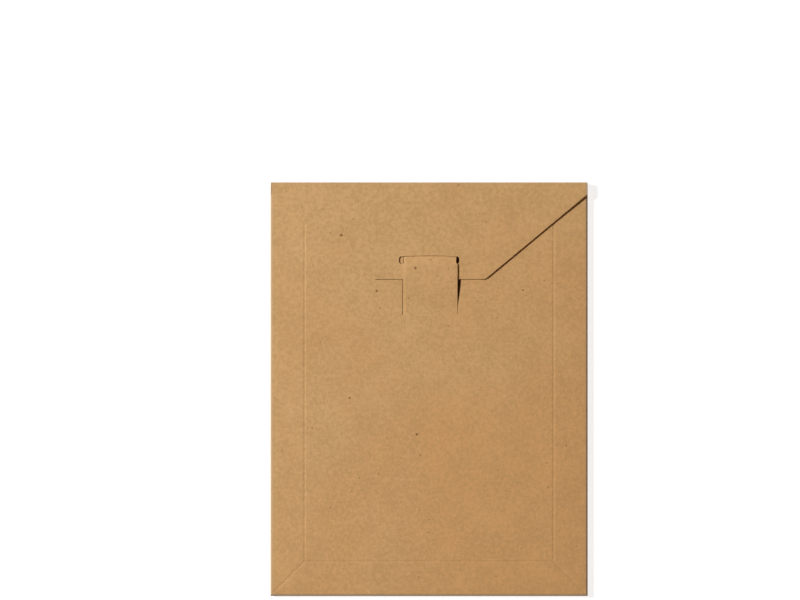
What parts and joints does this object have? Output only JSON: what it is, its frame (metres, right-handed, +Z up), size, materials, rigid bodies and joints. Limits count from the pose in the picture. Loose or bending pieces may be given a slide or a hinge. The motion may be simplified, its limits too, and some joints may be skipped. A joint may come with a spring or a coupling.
{
  "type": "book mailer envelope",
  "caption": "Flat kraft solid-board mailer: creased gusset strips let the pocket deepen, a tapered flap folds over the front and a cut-out tab locks in the flap's slot.",
  "frame": {"origin": "under the middle of the closed envelope, on the surface that it lies on", "axes": "+X across the envelope, to the right as one looks at the closed flap; +Y up along the envelope towards the fold of the closure flap; +Z up off the table, out of the front panel"},
  "size_m": [0.25, 0.326, 0.0078],
  "materials": {
    "kraft_board": "matte",
    "kraft_inside": "matte",
    "dried_glue": "satin"
  },
  "bodies": {
    "back_panel": {"back_panel": "kraft_board"},
    "back_left_gusset": {"back_left_gusset": "kraft_board", "left_glue_flap": "kraft_inside", "left_glue_line": "dried_glue"},
    "back_right_gusset": {"back_right_gusset": "kraft_board", "right_glue_flap": "kraft_inside", "right_glue_line": "dried_glue"},
    "back_bottom_gusset": {"back_bottom_gusset": "kraft_board"},
    "front_panel": {"front_panel": "kraft_board"},
    "front_left_gusset": {"front_left_gusset": "kraft_board", "left_outer_fold": "kraft_board"},
    "front_right_gusset": {"front_right_gusset": "kraft_board", "right_outer_fold": "kraft_board"},
    "front_bottom_gusset": {"front_bottom_gusset": "kraft_board", "bottom_outer_fold": "kraft_board"},
    "lower_spine": {"lower_spine": "kraft_board"},
    "upper_spine": {"upper_spine": "kraft_board"},
    "closure_flap": {"closure_flap": "kraft_board"},
    "locking_tab": {"locking_tab": "kraft_board"}
  },
  "joints": [
    {"name": "pocket_expand", "type": "slide", "parent": "back_panel", "child": "front_panel", "axis": [0, 0, 1], "range_m": [0, 0.015]},
    {"name": "back_left_crease", "type": "hinge", "parent": "back_panel", "child": "back_left_gusset", "pos_m": [-0.09803, 0, 0.00035], "axis": [0, 1, 0], "range_deg": [0, 17.7]},
    {"name": "back_right_crease", "type": "hinge", "parent": "back_panel", "child": "back_right_gusset", "pos_m": [0.09803, 0, 0.00035], "axis": [0, -1, 0], "range_deg": [0, 17.7]},
    {"name": "back_bottom_crease", "type": "hinge", "parent": "back_panel", "child": "back_bottom_gusset", "pos_m": [0, -0.13554, 0.00035], "axis": [-1, 0, 0], "range_deg": [0, 17.7]},
    {"name": "front_left_crease", "type": "hinge", "parent": "front_panel", "child": "front_left_gusset", "pos_m": [-0.09803, 0, 0.00525], "axis": [0, -1, 0], "range_deg": [0, 17.7]},
    {"name": "front_right_crease", "type": "hinge", "parent": "front_panel", "child": "front_right_gusset", "pos_m": [0.09803, 0, 0.00525], "axis": [0, 1, 0], "range_deg": [0, 17.7]},
    {"name": "front_bottom_crease", "type": "hinge", "parent": "front_panel", "child": "front_bottom_gusset", "pos_m": [0, -0.13554, 0.00525], "axis": [1, 0, 0], "range_deg": [0, 17.7]},
    {"name": "flap_open", "type": "hinge", "parent": "back_panel", "child": "lower_spine", "pos_m": [0, 0.16265, 0.00035], "axis": [-1, 0, 0], "range_deg": [0, 90]},
    {"name": "spine_stretch", "type": "slide", "parent": "lower_spine", "child": "upper_spine", "axis": [0, 0, 1], "range_m": [0, 0.015]},
    {"name": "flap_crease", "type": "hinge", "parent": "upper_spine", "child": "closure_flap", "pos_m": [0, 0.16265, 0.00665], "axis": [-1, 0, 0], "range_deg": [0, 90]},
    {"name": "tab_lift", "type": "hinge", "parent": "front_panel", "child": "locking_tab", "pos_m": [0, 0.0586, 0.00525], "axis": [1, 0, 0], "range_deg": [0, 120], "deforming": ["locking_tab"]}
  ],
  "couplings": [
    {"joint": "back_left_crease", "follows": "pocket_expand", "rad_per_m": 20.502},
    {"joint": "back_right_crease", "follows": "pocket_expand", "rad_per_m": 20.502},
    {"joint": "back_bottom_crease", "follows": "pocket_expand", "rad_per_m": 20.502},
    {"joint": "front_left_crease", "follows": "pocket_expand", "rad_per_m": 20.502},
    {"joint": "front_right_crease", "follows": "pocket_expand", "rad_per_m": 20.502},
    {"joint": "front_bottom_crease", "follows": "pocket_expand", "rad_per_m": 20.502},
    {"joint": "spine_stretch", "follows": "pocket_expand", "ratio": 1},
    {"joint": "flap_crease", "follows": "flap_open", "ratio": 1}
  ]
}
